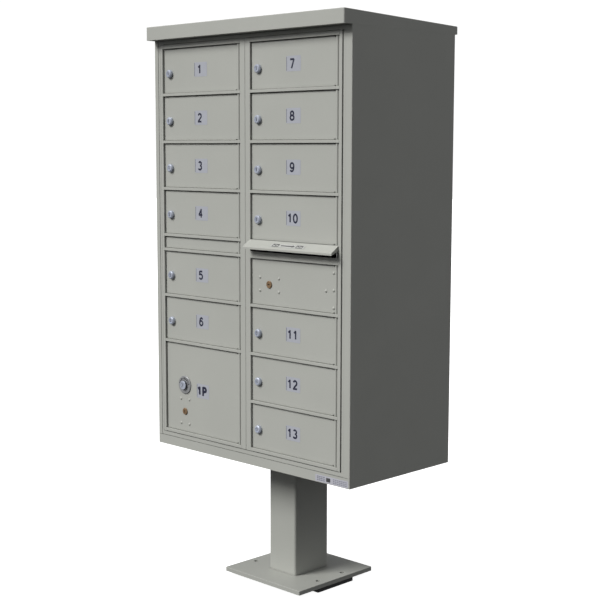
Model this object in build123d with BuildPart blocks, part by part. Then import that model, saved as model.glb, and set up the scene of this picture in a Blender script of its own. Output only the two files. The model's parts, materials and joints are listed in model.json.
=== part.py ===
from build123d import *
import os

# Cluster mailbox unit on a pedestal.
# Millimetres.  +X is to the right seen from the front, +Y to the back, +Z up.
# The origin is the centre of the four anchor bolts, on the underside of the mounting pad.

# ---- pedestal
PAD_X = 300.0
PAD_Y = 148.0
PAD_T = 12.0
PAD_CORNER_R = 4.0
BASE_SIDE = 305.0
BASE_T = 12.0
BASE_CORNER_R = 3.0
BASE_EDGE_R = 1.2
ANCHOR_X = 254.0
ANCHOR_Y = 101.6
ANCHOR_R = 7.0
TUBE_X = 107.0
TUBE_Y = 137.0
TUBE_WALL = 4.0
TUBE_CORNER_R = 7.0
TUBE_H = 339.0
HEAD_PLATE_X = 200.0
HEAD_PLATE_Y = 250.0
HEAD_PLATE_T = 8.0
HEAD_PLATE_CORNER_R = 6.0
HEAD_BOLT_X = 160.0
HEAD_BOLT_Y = 210.0
HEAD_BOLT_R = 5.0
HEAD_BOLT_HOLE_R = 5.5
HEX_R = 9.5
HEX_H = 7.0
BOLT_TAIL = 3.0         # thread past the nut

# ---- cabinet shell
CABINET_W = 775.0
CABINET_D = 414.0
CABINET_H = 1187.0
SHEET = 2.0
SEAM = 0.1              # hairline between neighbouring welded members
OVERRUN = 1.0           # how far a cut, or a joined length, runs past what it meets
ROOT = 0.5              # how far a rib runs into the sheet that carries it
LEFT_FLANGE = 15.3      # front return of the left side panel
RIGHT_FLANGE = 22.1     # front return of the right side panel
BOTTOM_FLANGE = 27.0    # front return of the floor pan
FLANGE_GAP = 1.0        # between the floor pan's return and the side panels' returns
FOLD_R = 1.6            # outer radius of a side panel's front fold
HOOD_FRONT_OVERHANG = 31.0
HOOD_BACK_OVERHANG = 10.0
HOOD_FRONT_H = 38.0
HOOD_BACK_H = 22.0
HOOD_CORNER_R = 4.0
HOOD_EDGE_R = 2.0
HOOD_TOP_T = 3.0

# ---- front frame that the master doors close against
JAMB_W = 8.0
JAMB_D = 16.0
LEFT_JAMB_GAP = 1.2     # to the left panel's return
RIGHT_JAMB_GAP = 0.3
FRAME_RECESS = 0.4
SILL_H = 11.0
SILL_GAP = 2.4          # between the sill and the master doors
HEAD_GAP = 1.0

# ---- master doors
LEFT_MASTER_GAP = 3.0   # to the left jamb
RIGHT_MASTER_GAP = 2.3  # to the right jamb
MASTER_PROUD = 2.0
MASTER_D = 20.0
MASTER_MEET_X = -2.5    # where the two master doors meet
MEET_GAP = 0.8
PIN_R = 2.5
PIN_FIT = 0.02          # between a fixed pin and its hole
PIN_INSET = 5.0         # of the pivot from the stile's outer side and from its face
PIN_DEPTH = 6.0         # into the sill and the head strip
PIN_REACH = 8.0         # into a master door
MASTER_BOLT_X = 9.0     # a master door's bolt, from where the two doors meet
MASTER_BOLT_W = 8.0
MASTER_BOLT_T = 3.0
MASTER_BOLT_BACK = 0.5  # behind the stile
MASTER_BOLT_BELOW = 1.5 # below the top of its door
MASTER_BOLT_CHAMFER = 0.8
KNOB_R = 3.5
KNOB_H = 7.0
KNOB_RISE = 12.0
CLIP_W = 14.0
CLIP_D = 8.0
CLIP_H = 12.0
CLIP_WINDOW_W = 9.0
CLIP_WINDOW_D = 4.7
CLIP_RISE = 95.0        # guide clips above the bottom of their opening

# ---- openings in the master doors
OPENING_W = 328.0
OPENING_H = 126.7
RAIL_H = 8.0
LEFT_OPENING_X = -350.5
RIGHT_OPENING_X = 17.0
BOTTOM_RAIL_H = 9.2
TOP_RAIL_H = 11.5
STRIP_H = 34.6          # the low opening between the upper and the lower rows
EDGE_R = 0.6

# ---- tenant doors
DOOR_RECESS = 5.8
DOOR_T = 3.0
DOOR_GAP = 1.5          # at the left and at the top
DOOR_GAP_BELOW = 0.6
DOOR_EDGE_R = 0.8
RETURN_D = 7.0          # how far a door's left return reaches behind its face
RETURN_T = 1.5
RETURN_SHORT = 2.0      # the return stops short of the door's top and bottom
KNUCKLE_R = 4.5
KNUCKLE_INSET = 11.0
KNUCKLE_BACK = 1.3      # hinge axis behind the door's face
KNUCKLE_GAP = 0.4       # above and below a knuckle
RELIEF_W = 6.0          # cut beside the knuckle, at a door's top and bottom
RELIEF_H = 2.5
LEAF_T = 1.5            # fixed leaf between the knuckles and the stile
LEAF_PROUD = 1.3        # of the doors' faces
LEAF_GAP = 0.7
ROD_R = 1.5
ROD_SHORT = 2.0         # the rod's hole stops short of the frame's top and bottom
ROD_END_GAP = 0.2
RUNNING = 0.05

# ---- cam locks
LOCK_INSET = 28.0
LOCK_DROP = 8.0
BEZEL_R = 11.25
BEZEL_PROUD = 9.0
BEZEL_CHAMFER = 2.4
BARREL_R = 8.0
BARREL_BACK = 15.5
PLUG_R = 6.0
PLUG_SUNK = 0.7         # plug's face behind the bezel's
PLUG_TAIL = 3.5         # plug past the cam
PLUG_CHAMFER = 0.6
CAM_W = 14.0
CAM_REACH = 30.0
CAM_T = 3.0
CAM_BACK = 22.3         # front face of a cam, behind the cabinet's front plane
HUB_R = 10.0
KEYWAY_W = 2.2
KEYWAY_H = 9.0
KEYWAY_D = 5.0
NUT_R = 12.5
NUT_T = 3.5

# ---- carrier locks and sliding bolts
CARRIER_R = 10.0
CARRIER_PROUD = 2.8
CARRIER_CHAMFER = 0.9
CARRIER_HOLE_R = 10.1
CARRIER_PLUG_R = 6.5
CARRIER_SHORT = 0.2     # the wide face stops short of the door's back
CARRIER_KEY_W = 2.0
CARRIER_KEY_H = 8.8
CARRIER_KEY_D = 3.6
TAIL_R = 4.0
TAIL_DISC_R = 9.0
TAIL_DISC_T = 3.0
TAIL_CLEAR = 0.4
TAIL_SLOT_W = 8.6
BOLT_H = 14.0
BOLT_T = 3.0
BOLT_TRAVEL = 12.0
BOLT_SLOT_SLACK = 2.0
BOLT_CHAMFER = 1.0
BOLT_BACK = 18.5        # front face of a sliding bolt, behind the front plane
BOLT_INSET = 2.5        # its end at rest, from the opening's left side
BOLT_PAST = 22.0        # how far it runs past its lock
GUIDE_T = 3.0
GUIDE_CLEAR = 0.3
CASE_LONG = 88.0
CASE_SHORT = 52.0
CASE_EDGE_R = 1.2
CASE_CLEAR = 0.6        # between a case and its bolt
CASE_GUIDE_INSET = 4.0
CASE_GUIDE_STOP = 12.0
RIVET_LONG = 73.0
RIVET_SHORT = 36.5
RIVET_HEAD_R = 4.6
RIVET_HEAD_H = 2.4
RIVET_R = 2.0
RIVET_TAIL = 2.0

# ---- parcel door, in the lowest double opening of the left column
PARCEL_LOCK_INSET = 81.2
PARCEL_LOCK_UP = 139.0
PARCEL_CARRIER_UP = 60.0
ESCUTCHEON_R = 27.0
ESCUTCHEON_T = 3.2
ESCUTCHEON_EDGE = 1.6
PARCEL_BARREL_R = 13.0
PARCEL_BARREL_PROUD = 10.0
PARCEL_SHANK_R = 10.9
PARCEL_HOLE_R = 11.0
PARCEL_PLUG_R = 8.0
PARCEL_PLUG_SUNK = 0.8
PARCEL_KEY_W = 2.4
PARCEL_KEY_H = 10.0
PARCEL_GUIDE_START = 64.0
PARCEL_GUIDE_STOP = 16.0

# ---- outgoing mail door and slot, in the right column
OUTGOING_LOCK_INSET = 69.0
OUTGOING_LOCK_UP = 57.5
HINGE_RIVET_INSET = 20.3
HINGE_RIVET_STEP = 27.6
HINGE_RIVETS_UP = (14.0, 60.0, 105.5)
INNER_RIVET_UP = 57.0
SLOT_HOOD_OVERLAP = 3.5 # of the slot's hood over the middle stile
SLOT_HOOD_REACH = 26.0
SLOT_HOOD_T = 2.5
SLOT_HOOD_END_T = 2.0
SLOT_HOOD_BEND_R = 2.0
SLOT_HOOD_DROP = 3.2    # from the cover's upper to its lower side, at the wall
SLOT_LIP_DROP = 1.5     # the same at the lip
SLOT_END_TOP = 2.0      # an end's top and bottom at the wall, below the cover's top edge
SLOT_END_BOTTOM = 13.0
SLOT_END_BACK = 1.0     # an end's front edge, behind the lip's
SLOT_END_UP = 0.5       # its lowest point, above the lip's
SLOT_HOOD_UP = 42.0     # its top edge, above the bottom of the slot's opening
SLOT_LIP_UP = 18.5
SLOT_LIP_TOP_UP = 24.5
SLOT_SILL_UP = 10.5
SLOT_SILL_T = 3.0
DEFLECTOR_T = 1.5
DEFLECTOR_TOP_UP = 38.6
DEFLECTOR_BEND_UP = 31.6
DEFLECTOR_LOW_UP = 17.0
DEFLECTOR_LEAN = 7.0
DEFLECTOR_INSET = 4.0
DEFLECTOR_END_INSET = 16.0

# ---- inside
RACK_START = 32.0       # front edge of shelves and partitions, behind the front plane
RACK_MARGIN = 4.0       # partitions outside the openings
RACK_OVER = 5.0         # partitions above and below the openings
SHELF_T = 1.5
HEM = 3.0

# ---- worked out from the above
BASE_TOP = PAD_T + BASE_T
CABINET_Z0 = BASE_TOP + TUBE_H + HEAD_PLATE_T
CABINET_Z1 = CABINET_Z0 + CABINET_H
HALF_W = CABINET_W / 2
INNER = HALF_W - SHEET - SEAM
FRONT_Y = -CABINET_D / 2
BACK_Y = CABINET_D / 2
LEFT_JAMB_X = -HALF_W + LEFT_FLANGE + LEFT_JAMB_GAP
RIGHT_JAMB_X = HALF_W - RIGHT_FLANGE - RIGHT_JAMB_GAP
LEFT_MASTER_X = LEFT_JAMB_X + JAMB_W + LEFT_MASTER_GAP
RIGHT_MASTER_X = RIGHT_JAMB_X - JAMB_W - RIGHT_MASTER_GAP
LEFT_PIN_X = LEFT_MASTER_X + PIN_INSET
RIGHT_PIN_X = RIGHT_MASTER_X - PIN_INSET
FLANGE_Z0 = CABINET_Z0 + BOTTOM_FLANGE + FLANGE_GAP
SILL_Z1 = FLANGE_Z0 + SILL_H
MASTER_Z0 = SILL_Z1 + SILL_GAP
MASTER_FACE = FRONT_Y - MASTER_PROUD
MASTER_BACK = MASTER_FACE + MASTER_D
PIN_Y = MASTER_FACE + PIN_INSET
DOOR_FACE = MASTER_FACE + DOOR_RECESS
DOOR_BACK = DOOR_FACE + DOOR_T
HINGE_Y = DOOR_FACE + KNUCKLE_BACK
PITCH = OPENING_H + RAIL_H
LOWER_Z = MASTER_Z0 + BOTTOM_RAIL_H
STRIP_Z = LOWER_Z + 4 * PITCH
UPPER_Z = STRIP_Z + STRIP_H + RAIL_H
TOP_RAIL_Z = UPPER_Z + 3 * PITCH + OPENING_H
MASTER_Z1 = TOP_RAIL_Z + TOP_RAIL_H
HEAD_Z = MASTER_Z1 + HEAD_GAP
LOWER_ROWS = [LOWER_Z + row * PITCH for row in range(4)]
UPPER_ROWS = [UPPER_Z + row * PITCH for row in range(4)]
CLIP_ROWS = [UPPER_ROWS[1] + CLIP_RISE, UPPER_ROWS[3] + CLIP_RISE]
LEFT_BOLT_X = MASTER_MEET_X - MASTER_BOLT_X
RIGHT_BOLT_X = MASTER_MEET_X + MASTER_BOLT_X
RACK_Y = FRONT_Y + RACK_START
RACK_BACK = BACK_Y - SHEET - SEAM
CAM_Y = FRONT_Y + CAM_BACK
BOLT_Y = FRONT_Y + BOLT_BACK
CASE_BACK = BOLT_Y - CASE_CLEAR
GUIDE_BACK = BOLT_Y + BOLT_T + GUIDE_CLEAR
PARCEL_H = PITCH + OPENING_H
PARCEL_LOCK_X = LEFT_OPENING_X + PARCEL_LOCK_INSET
PARCEL_LOCK_Z = LOWER_Z + PARCEL_LOCK_UP
PARCEL_CARRIER_Z = LOWER_Z + PARCEL_CARRIER_UP
OUTGOING_Z = LOWER_ROWS[3]
OUTGOING_LOCK_X = RIGHT_OPENING_X + OUTGOING_LOCK_INSET
OUTGOING_LOCK_Z = OUTGOING_Z + OUTGOING_LOCK_UP
SLOT_X1 = RIGHT_OPENING_X + OPENING_W
LIP_Y = MASTER_FACE - SLOT_HOOD_REACH
LIP_Z = STRIP_Z + SLOT_LIP_UP
LIP_TOP_Z = STRIP_Z + SLOT_LIP_TOP_UP
SLOT_HOOD_Z = STRIP_Z + SLOT_HOOD_UP

os.makedirs("parts", exist_ok=True)


def save(piece, name):
    """Label a finished piece and write it to its own STEP file."""
    piece.part.label = name
    export_step(piece.part, f"parts/{name}.step")


def plate(x0, x1, y0, y1, z0, z1, mode=Mode.ADD):
    """A rectangular member between two corners, in the part being built."""
    with Locations(((x0 + x1) / 2, (y0 + y1) / 2, (z0 + z1) / 2)):
        Box(x1 - x0, y1 - y0, z1 - z0, mode=mode)


def upright(x0, x1, y0, y1, z0, z1):
    """A vertical member whose two front edges are eased."""
    with BuildSketch(Plane.XY.offset(z0)) as section:
        with Locations(((x0 + x1) / 2, (y0 + y1) / 2)):
            Rectangle(x1 - x0, y1 - y0)
        fillet(section.vertices().group_by(Axis.Y)[0], EDGE_R)
    extrude(section.sketch, amount=z1 - z0)


def crossbar(x0, x1, y0, y1, z0, z1):
    """A horizontal member whose two front edges are eased."""
    with BuildSketch(Plane.YZ.offset(x0)) as section:
        with Locations(((y0 + y1) / 2, (z0 + z1) / 2)):
            Rectangle(y1 - y0, z1 - z0)
        fillet(section.vertices().group_by(Axis.X)[0], EDGE_R)
    extrude(section.sketch, amount=x1 - x0)


def rod(x, y, z0, z1, radius, mode=Mode.ADD):
    """A round vertical bar or hole."""
    with BuildSketch(Plane.XY.offset(z0)) as section:
        with Locations((x, y)):
            Circle(radius)
    extrude(section.sketch, amount=z1 - z0, mode=mode)


def disc(x, z, y0, y1, radius, mode=Mode.ADD):
    """A round bar or hole that runs from front to back."""
    with BuildSketch(Plane.XZ.offset(-y0)) as section:
        with Locations((x, z)):
            Circle(radius)
    extrude(section.sketch, amount=y0 - y1, mode=mode)


def door_hole(x, z, radius):
    """A round hole through a door."""
    disc(x, z, DOOR_FACE - OVERRUN, DOOR_BACK + OVERRUN, radius, Mode.SUBTRACT)


# ======================================================================= pedestal
def make_mounting_pad():
    with BuildPart() as pad:
        with BuildSketch():
            RectangleRounded(PAD_X, PAD_Y, PAD_CORNER_R)
            with GridLocations(ANCHOR_X, ANCHOR_Y, 2, 2):
                Circle(ANCHOR_R, mode=Mode.SUBTRACT)
        extrude(amount=PAD_T)
        chamfer(pad.faces().sort_by(Axis.Z)[-1].outer_wire().edges(), 1)
    save(pad, "mounting_pad")


def make_base_plate():
    with BuildPart() as base:
        with BuildSketch(Plane.XY.offset(PAD_T)):
            RectangleRounded(BASE_SIDE, BASE_SIDE, BASE_CORNER_R)
            with GridLocations(ANCHOR_X, ANCHOR_Y, 2, 2):
                Circle(ANCHOR_R, mode=Mode.SUBTRACT)
        extrude(amount=BASE_T)
        fillet(base.faces().sort_by(Axis.Z)[-1].outer_wire().edges(), BASE_EDGE_R)
    save(base, "base_plate")


def make_pedestal_tube():
    """The hollow post, with the head plate that the cabinet is bolted to welded on its top."""
    bore_x = TUBE_X - 2 * TUBE_WALL
    bore_y = TUBE_Y - 2 * TUBE_WALL
    with BuildPart() as post:
        with BuildSketch(Plane.XY.offset(BASE_TOP)):
            RectangleRounded(TUBE_X, TUBE_Y, TUBE_CORNER_R)
            RectangleRounded(bore_x, bore_y, TUBE_CORNER_R - TUBE_WALL, mode=Mode.SUBTRACT)
        extrude(amount=TUBE_H - SEAM)
        with BuildSketch(Plane.XY.offset(BASE_TOP + TUBE_H)):
            RectangleRounded(HEAD_PLATE_X, HEAD_PLATE_Y, HEAD_PLATE_CORNER_R)
            with GridLocations(HEAD_BOLT_X, HEAD_BOLT_Y, 2, 2):
                Circle(HEAD_BOLT_HOLE_R, mode=Mode.SUBTRACT)
        extrude(amount=HEAD_PLATE_T)
    save(post, "pedestal_tube")


def make_pedestal_bolts():
    """Four hexagon bolts and nuts through the head plate and the cabinet's floor."""
    head_z = CABINET_Z0 + SHEET
    nut_z = CABINET_Z0 - HEAD_PLATE_T
    tail_z = nut_z - HEX_H - BOLT_TAIL
    with BuildPart() as bolts:
        with BuildSketch(Plane.XY.offset(tail_z)):
            with GridLocations(HEAD_BOLT_X, HEAD_BOLT_Y, 2, 2):
                Circle(HEAD_BOLT_R)
        extrude(amount=head_z + HEX_H / 2 - tail_z)
        with BuildSketch(Plane.XY.offset(head_z)):
            with GridLocations(HEAD_BOLT_X, HEAD_BOLT_Y, 2, 2):
                RegularPolygon(HEX_R, 6)
        extrude(amount=HEX_H)
        with BuildSketch(Plane.XY.offset(nut_z)):
            with GridLocations(HEAD_BOLT_X, HEAD_BOLT_Y, 2, 2):
                RegularPolygon(HEX_R, 6)
        extrude(amount=-HEX_H)
    save(bolts, "pedestal_bolts")


# ======================================================================= cabinet shell
def make_floor_pan():
    with BuildPart() as pan:
        with BuildSketch(Plane.XY.offset(CABINET_Z0)):
            Rectangle(2 * INNER, CABINET_D - 2 * (SHEET + SEAM))
            with GridLocations(HEAD_BOLT_X, HEAD_BOLT_Y, 2, 2):
                Circle(HEAD_BOLT_HOLE_R, mode=Mode.SUBTRACT)
        extrude(amount=SHEET)
        plate(-INNER, INNER, FRONT_Y, FRONT_Y + SHEET, CABINET_Z0, CABINET_Z0 + BOTTOM_FLANGE)
    save(pan, "floor_pan")


def side_skin(x, front_corner):
    """The skin of one side, its front edge rounded on the outside."""
    with BuildSketch(Plane.XY.offset(CABINET_Z0)) as section:
        with Locations((x, 0)):
            Rectangle(SHEET, CABINET_D)
        fillet(section.vertices().group_by(Axis.Y)[0].sort_by(Axis.X)[front_corner], FOLD_R)
    extrude(section.sketch, amount=CABINET_H)


def make_side_panels():
    """Each side is a skin and its front return."""
    back = FRONT_Y + SHEET
    with BuildPart() as left:
        side_skin(-HALF_W + SHEET / 2, 0)
        plate(-INNER, -HALF_W + LEFT_FLANGE, FRONT_Y, back, FLANGE_Z0, CABINET_Z1)
    save(left, "side_panel_left")
    with BuildPart() as right:
        side_skin(HALF_W - SHEET / 2, -1)
        plate(HALF_W - RIGHT_FLANGE, INNER, FRONT_Y, back, FLANGE_Z0, CABINET_Z1)
    save(right, "side_panel_right")


def make_back_panel():
    with BuildPart() as panel:
        plate(-INNER, INNER, BACK_Y - SHEET, BACK_Y, CABINET_Z0, CABINET_Z1 - SHEET - SEAM)
    save(panel, "back_panel")


def make_top_panel():
    with BuildPart() as panel:
        plate(-INNER, INNER, FRONT_Y + SHEET + SEAM, BACK_Y, CABINET_Z1 - SHEET, CABINET_Z1)
    save(panel, "top_panel")


def make_rain_hood():
    """A folded cap, open below, that slopes to the back and overhangs the doors."""
    front = FRONT_Y - HOOD_FRONT_OVERHANG
    back = BACK_Y + HOOD_BACK_OVERHANG
    z0 = CABINET_Z1 + SEAM
    with BuildPart() as hood:
        with BuildSketch(Plane.YZ.offset(-HALF_W)):
            with BuildLine():
                Polyline(
                    (front, z0),
                    (front, z0 + HOOD_FRONT_H),
                    (back, z0 + HOOD_BACK_H),
                    (back, z0),
                    close=True,
                )
            make_face()
        extrude(amount=CABINET_W)
        fillet(hood.edges().filter_by(Axis.Z).group_by(Axis.Y)[0], HOOD_CORNER_R)
        fillet(hood.faces().sort_by(Axis.Z)[-1].edges(), HOOD_EDGE_R)
        with BuildSketch(Plane.YZ.offset(-HALF_W + SHEET)):
            with BuildLine():
                Polyline(
                    (front + SHEET, z0 - OVERRUN),
                    (front + SHEET, z0 + HOOD_FRONT_H - HOOD_TOP_T),
                    (back - SHEET, z0 + HOOD_BACK_H - HOOD_TOP_T),
                    (back - SHEET, z0 - OVERRUN),
                    close=True,
                )
            make_face()
        extrude(amount=CABINET_W - 2 * SHEET, mode=Mode.SUBTRACT)
        plate(-HALF_W + SHEET, HALF_W - SHEET, front + OVERRUN, FRONT_Y + SHEET, z0, z0 + SHEET)
    save(hood, "rain_hood")


def make_front_frame():
    """Two jambs, a sill and a head strip round the master doors, with pivot holes."""
    back = FRONT_Y + JAMB_D
    face = FRONT_Y + FRAME_RECESS
    jamb_z0 = SILL_Z1 + SEAM
    jamb_z1 = HEAD_Z - SEAM
    hole_r = PIN_R + PIN_FIT
    with BuildPart() as frame:
        upright(LEFT_JAMB_X, LEFT_JAMB_X + JAMB_W, face, back, jamb_z0, jamb_z1)
        upright(RIGHT_JAMB_X - JAMB_W, RIGHT_JAMB_X, face, back, jamb_z0, jamb_z1)
        crossbar(LEFT_JAMB_X, RIGHT_JAMB_X, face, back, FLANGE_Z0, SILL_Z1)
        crossbar(LEFT_JAMB_X, RIGHT_JAMB_X, face, back, HEAD_Z, CABINET_Z1 - SHEET - SEAM)
        for x in (LEFT_PIN_X, RIGHT_PIN_X):
            rod(x, PIN_Y, SILL_Z1 - PIN_DEPTH, SILL_Z1 + OVERRUN, hole_r, Mode.SUBTRACT)
            rod(x, PIN_Y, HEAD_Z - OVERRUN, HEAD_Z + PIN_DEPTH, hole_r, Mode.SUBTRACT)
    save(frame, "front_frame")


def make_master_pivot_pins():
    with BuildPart() as pins:
        for x in (LEFT_PIN_X, RIGHT_PIN_X):
            rod(x, PIN_Y, SILL_Z1 - PIN_DEPTH, MASTER_Z0 + PIN_REACH, PIN_R)
            rod(x, PIN_Y, MASTER_Z1 - PIN_REACH, HEAD_Z + PIN_DEPTH, PIN_R)
    save(pins, "master_pivot_pins")


# ======================================================================= compartments
def make_partitions():
    """The upright sheets either side of each column of compartments."""
    left = LEFT_OPENING_X - RACK_MARGIN - SHELF_T
    middle = MASTER_MEET_X - SHELF_T / 2
    right = RIGHT_OPENING_X + OPENING_W + RACK_MARGIN
    with BuildPart() as sheets:
        for x in (left, middle, right):
            plate(x, x + SHELF_T, RACK_Y, RACK_BACK, LOWER_Z - RACK_OVER, TOP_RAIL_Z + RACK_OVER)
    save(sheets, "partitions")


def make_shelves(name, x0, x1, levels):
    """The shelves of one column, each with a stiff hem along its front edge."""
    hem_back = RACK_Y + HEM
    with BuildPart() as shelves:
        for level in levels:
            plate(x0, x1, hem_back + SEAM, RACK_BACK, level - SHELF_T / 2, level + SHELF_T / 2)
            plate(x0, x1, RACK_Y, hem_back, level - HEM, level + HEM)
    save(shelves, name)


def make_both_shelves():
    """Left has a double-height parcel compartment, right a taller one for outgoing mail."""
    left = LEFT_OPENING_X - RACK_MARGIN + SEAM
    middle_left = MASTER_MEET_X - SHELF_T / 2 - SEAM
    middle_right = MASTER_MEET_X + SHELF_T / 2 + SEAM
    right = RIGHT_OPENING_X + OPENING_W + RACK_MARGIN - SEAM
    half_rail = RAIL_H / 2
    ends = [LOWER_Z - half_rail, TOP_RAIL_Z + half_rail]
    lower = [z - half_rail for z in LOWER_ROWS[1:]]
    upper = [z - half_rail for z in UPPER_ROWS]
    make_shelves("shelves_left", left, middle_left, ends + lower[1:] + [STRIP_Z - half_rail] + upper)
    make_shelves("shelves_right", middle_right, right, ends + lower + upper)


# ======================================================================= master doors
def guide_clip(x, z):
    """A strap behind a master door that a sliding bolt runs through."""
    back = MASTER_BACK + SEAM
    with BuildSketch(Plane.XY.offset(z)) as section:
        with Locations((x, back + CLIP_D / 2)):
            Rectangle(CLIP_W, CLIP_D)
        with Locations((x, back + CLIP_WINDOW_D / 2)):
            Rectangle(CLIP_WINDOW_W, CLIP_WINDOW_D, mode=Mode.SUBTRACT)
    extrude(section.sketch, amount=CLIP_H)


def make_master_frame(name, x0, x1, opening_x, openings, leaves, bolt_x, pin_x):
    """The welded frame of one master door: stiles, rails, fixed hinge leaves and bolt guides."""
    opening_x1 = opening_x + OPENING_W
    rail_z0 = MASTER_Z0
    leaf_x = opening_x1 - KNUCKLE_INSET + KNUCKLE_R + LEAF_GAP
    leaf_y = DOOR_FACE - LEAF_PROUD
    hole_r = PIN_R + RUNNING
    with BuildPart() as frame:
        upright(x0, opening_x, MASTER_FACE, MASTER_BACK, MASTER_Z0, MASTER_Z1)
        upright(opening_x1, x1, MASTER_FACE, MASTER_BACK, MASTER_Z0, MASTER_Z1)
        for z, height in openings:
            crossbar(opening_x + SEAM, opening_x1 - SEAM, MASTER_FACE, MASTER_BACK, rail_z0, z)
            rail_z0 = z + height
        crossbar(opening_x + SEAM, opening_x1 - SEAM, MASTER_FACE, MASTER_BACK, rail_z0, MASTER_Z1)
        for z, height in leaves:
            plate(leaf_x, opening_x1 - SEAM, leaf_y, leaf_y + LEAF_T, z + SEAM, z + height - SEAM)
        rod(
            opening_x1 - KNUCKLE_INSET, HINGE_Y, MASTER_Z0 + ROD_SHORT, MASTER_Z1 - ROD_SHORT,
            ROD_R + PIN_FIT, Mode.SUBTRACT,
        )
        rod(pin_x, PIN_Y, MASTER_Z0 - OVERRUN, MASTER_Z0 + PIN_REACH + OVERRUN, hole_r, Mode.SUBTRACT)
        rod(pin_x, PIN_Y, MASTER_Z1 - PIN_REACH - OVERRUN, MASTER_Z1 + OVERRUN, hole_r, Mode.SUBTRACT)
        for z in CLIP_ROWS:
            guide_clip(bolt_x, z)
    save(frame, name)


def make_hinge_rod(name, opening_x):
    """The full-height rod that every tenant door of one column turns on."""
    short = ROD_SHORT + ROD_END_GAP
    with BuildPart() as hinge:
        rod(opening_x + OPENING_W - KNUCKLE_INSET, HINGE_Y, MASTER_Z0 + short, MASTER_Z1 - short, ROD_R)
    save(hinge, name)


def make_master_bolt(name, x):
    """A flat bar behind a master door that slides up behind the head strip to lock it."""
    y0 = MASTER_BACK + MASTER_BOLT_BACK
    y1 = y0 + MASTER_BOLT_T
    half = MASTER_BOLT_W / 2
    bar_z0 = UPPER_ROWS[1]
    with BuildPart() as bolt:
        plate(x - half, x + half, y0, y1, bar_z0, MASTER_Z1 - MASTER_BOLT_BELOW)
        chamfer(bolt.faces().sort_by(Axis.Z)[-1].edges().sort_by(Axis.Y)[0], BOLT_CHAMFER)
        disc(x, bar_z0 + KNOB_RISE, y1, y1 + KNOB_H, KNOB_R)
        chamfer(bolt.faces().sort_by(Axis.Y)[-1].edges(), MASTER_BOLT_CHAMFER)
    save(bolt, name)


# ======================================================================= doors
def door_blank(opening_x, z0, height):
    """A flat door with its left return, its rolled knuckle and the bore for the hinge rod."""
    left = opening_x + DOOR_GAP
    axis_x = opening_x + OPENING_W - KNUCKLE_INSET
    relief_x = axis_x - KNUCKLE_R - RELIEF_W
    bottom = z0 + DOOR_GAP_BELOW
    top = z0 + height - DOOR_GAP
    knuckle_z0 = z0 + KNUCKLE_GAP
    knuckle_z1 = z0 + height - KNUCKLE_GAP
    with BuildSketch(Plane.XZ.offset(-DOOR_FACE)) as section:
        with Locations(((left + axis_x) / 2, (bottom + top) / 2)):
            Rectangle(axis_x - left, top - bottom)
    extrude(section.sketch, amount=-DOOR_T)
    fillet(faces().sort_by(Axis.Y)[0].edges().sort_by(Axis.X)[:-1], DOOR_EDGE_R)
    plate(
        relief_x, axis_x + OVERRUN, DOOR_FACE - OVERRUN, DOOR_BACK + OVERRUN,
        top - RELIEF_H, top + OVERRUN, Mode.SUBTRACT,
    )
    plate(
        relief_x, axis_x + OVERRUN, DOOR_FACE - OVERRUN, DOOR_BACK + OVERRUN,
        bottom - OVERRUN, bottom + RELIEF_H, Mode.SUBTRACT,
    )
    plate(
        left, left + RETURN_T, DOOR_BACK - ROOT, DOOR_FACE + RETURN_D,
        bottom + RETURN_SHORT, top - RETURN_SHORT,
    )
    rod(axis_x, HINGE_Y, knuckle_z0, knuckle_z1, KNUCKLE_R)
    rod(axis_x, HINGE_Y, knuckle_z0 - OVERRUN, knuckle_z1 + OVERRUN, ROD_R + RUNNING, Mode.SUBTRACT)


def lock_x(opening_x):
    return opening_x + LOCK_INSET


def lock_z(z0):
    return z0 + OPENING_H / 2 - LOCK_DROP


def make_tenant_door(number, opening_x, z0):
    """A door with the fixed barrel of its cam lock and the nut that holds the barrel."""
    x = lock_x(opening_x)
    z = lock_z(z0)
    front = DOOR_FACE - RUNNING
    barrel_back = DOOR_FACE + BARREL_BACK
    with BuildPart() as door:
        door_blank(opening_x, z0, OPENING_H)
        door_hole(x, z, BARREL_R + RUNNING)
        disc(x, z, front - BEZEL_PROUD, front, BEZEL_R)
        chamfer(door.faces().sort_by(Axis.Y)[0].edges(), BEZEL_CHAMFER)
        disc(x, z, front, barrel_back, BARREL_R)
        disc(x, z, front - BEZEL_PROUD - OVERRUN, barrel_back + OVERRUN, PLUG_R + RUNNING, Mode.SUBTRACT)
        with BuildSketch(Plane.XZ.offset(-(DOOR_BACK + RUNNING))):
            with Locations((x, z)):
                RegularPolygon(NUT_R, 6)
                Circle(BARREL_R + RUNNING, mode=Mode.SUBTRACT)
        extrude(amount=-NUT_T)
    save(door, f"tenant_door_{number:02d}")


def make_tenant_lock(number, opening_x, z0):
    """The turning plug of a cam lock and its cam, which points up, unlocked."""
    x = lock_x(opening_x)
    z = lock_z(z0)
    face = DOOR_FACE - BEZEL_PROUD + PLUG_SUNK
    half_w = KEYWAY_W / 2
    half_h = KEYWAY_H / 2
    with BuildPart() as lock:
        disc(x, z, face, CAM_Y + CAM_T + PLUG_TAIL, PLUG_R)
        chamfer(lock.faces().sort_by(Axis.Y)[0].edges(), PLUG_CHAMFER)
        plate(x - half_w, x + half_w, face - OVERRUN, face + KEYWAY_D, z - half_h, z + half_h, Mode.SUBTRACT)
        with BuildSketch(Plane.XZ.offset(-CAM_Y)):
            with Locations((x, z)):
                Circle(HUB_R)
            with Locations((x, z + CAM_REACH / 2)):
                Rectangle(CAM_W, CAM_REACH)
            with Locations((x, z + CAM_REACH)):
                Circle(CAM_W / 2)
            with Locations((x, z)):
                Circle(PLUG_R + RUNNING, mode=Mode.SUBTRACT)
        extrude(amount=-CAM_T)
    save(lock, f"tenant_lock_{number:02d}")


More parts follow.
